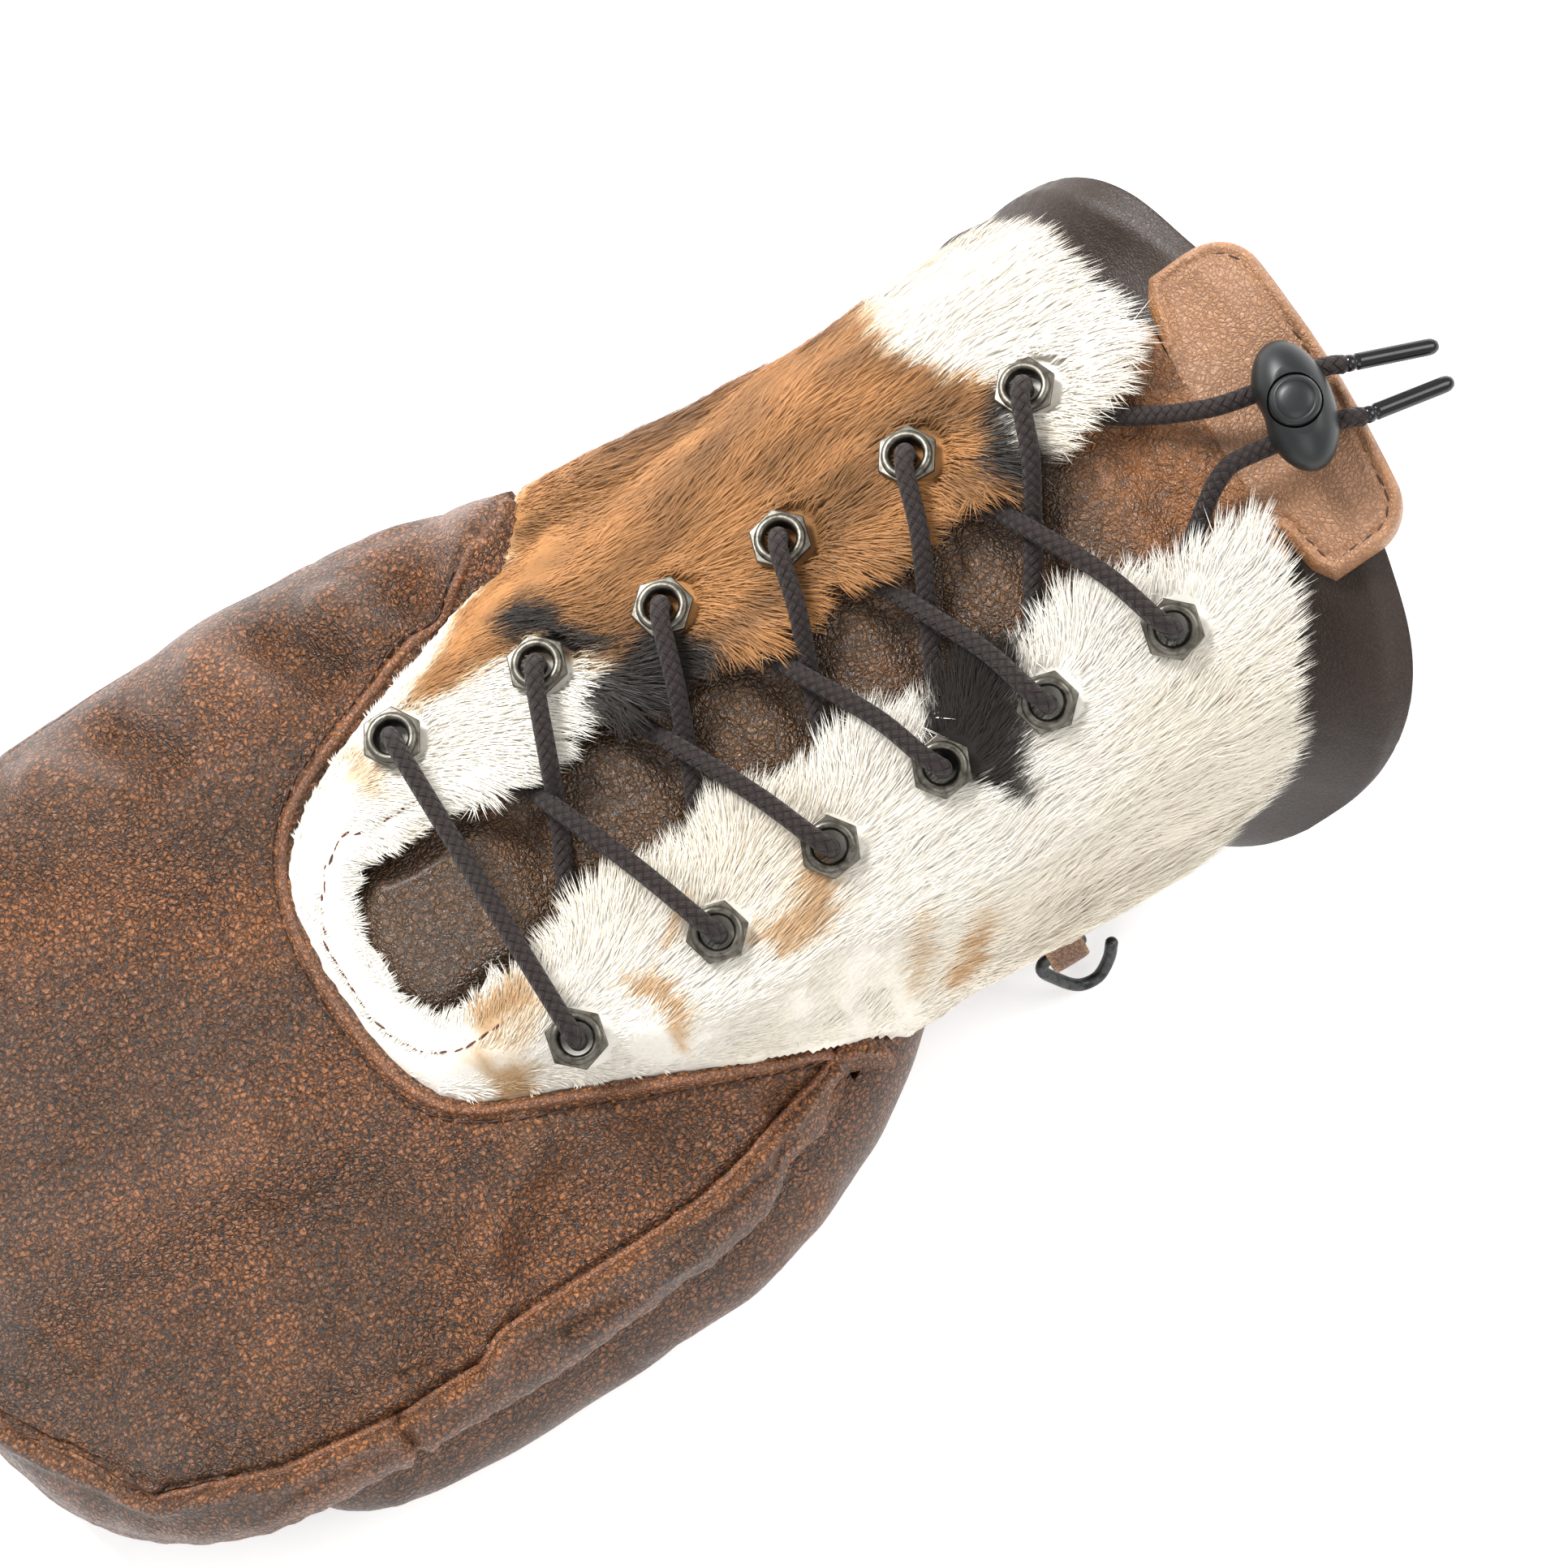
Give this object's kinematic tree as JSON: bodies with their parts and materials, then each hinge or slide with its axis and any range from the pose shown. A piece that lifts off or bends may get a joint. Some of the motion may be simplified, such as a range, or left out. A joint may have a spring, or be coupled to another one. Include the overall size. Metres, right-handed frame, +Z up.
{
  "type": "leather mitten",
  "caption": "Right-hand brown leather mitten with a laced fur gauntlet, padded tongue, cord lock and small hook.",
  "frame": {"origin": "middle of the whole part's box, on the surface that the mitten lies on, palm down", "axes": "+X runs from the fingertips to the cuff, +Y to the little finger side, +Z up out of the back of the hand"},
  "size_m": [0.2872, 0.1296, 0.089],
  "materials": {
    "back_leather": "pebbled brown leather with copper rub marks",
    "band_leather": "pebbled brown leather, rubbed along the seams",
    "palm_leather": "worn brown leather",
    "lining_leather": "smooth dark chocolate leather",
    "calico_fur": "short cream hair with tan and black patches",
    "tongue_leather": "glossy pebbled brown leather",
    "tab_leather": "tan leather with a turned edge and a stitch line",
    "eyelet_metal": "aged nickel",
    "lace_cord": "braided round lace, dark plum brown",
    "gloss_tip": "glossy black",
    "lock_plastic": "matte black",
    "button_plastic": "matte black",
    "strap_leather": "brown leather with raw tan edges",
    "hook_metal": "dark grey lacquered wire"
  },
  "bodies": {
    "mitten": {"back_panel": "back_leather", "finger_band": "band_leather", "wrist_band": "band_leather", "palm_panel": "palm_leather", "thumb": "palm_leather", "cuff_lining": "lining_leather", "fur_hide": "calico_fur", "tongue": "tongue_leather", "tongue_tab": "tab_leather", "lace": "lace_cord", "aglet_upper": "gloss_tip", "aglet_lower": "gloss_tip", "cord_lock_body": "lock_plastic", "hook_strap": "strap_leather", "hook": "hook_metal", "eyelet_upper_1": "eyelet_metal", "eyelet_upper_2": "eyelet_metal", "eyelet_upper_3": "eyelet_metal", "eyelet_upper_4": "eyelet_metal", "eyelet_upper_5": "eyelet_metal", "eyelet_upper_6": "eyelet_metal", "eyelet_lower_1": "eyelet_metal", "eyelet_lower_2": "eyelet_metal", "eyelet_lower_3": "eyelet_metal", "eyelet_lower_4": "eyelet_metal", "eyelet_lower_5": "eyelet_metal", "eyelet_lower_6": "eyelet_metal"},
    "lock_button": {"cord_lock_button": "button_plastic"}
  },
  "joints": [
    {"name": "button_press", "type": "slide", "parent": "mitten", "child": "lock_button", "axis": [0, 0, -1], "range_m": [0, 0.0025], "stiffness_N_per_m": 1200}
  ]
}
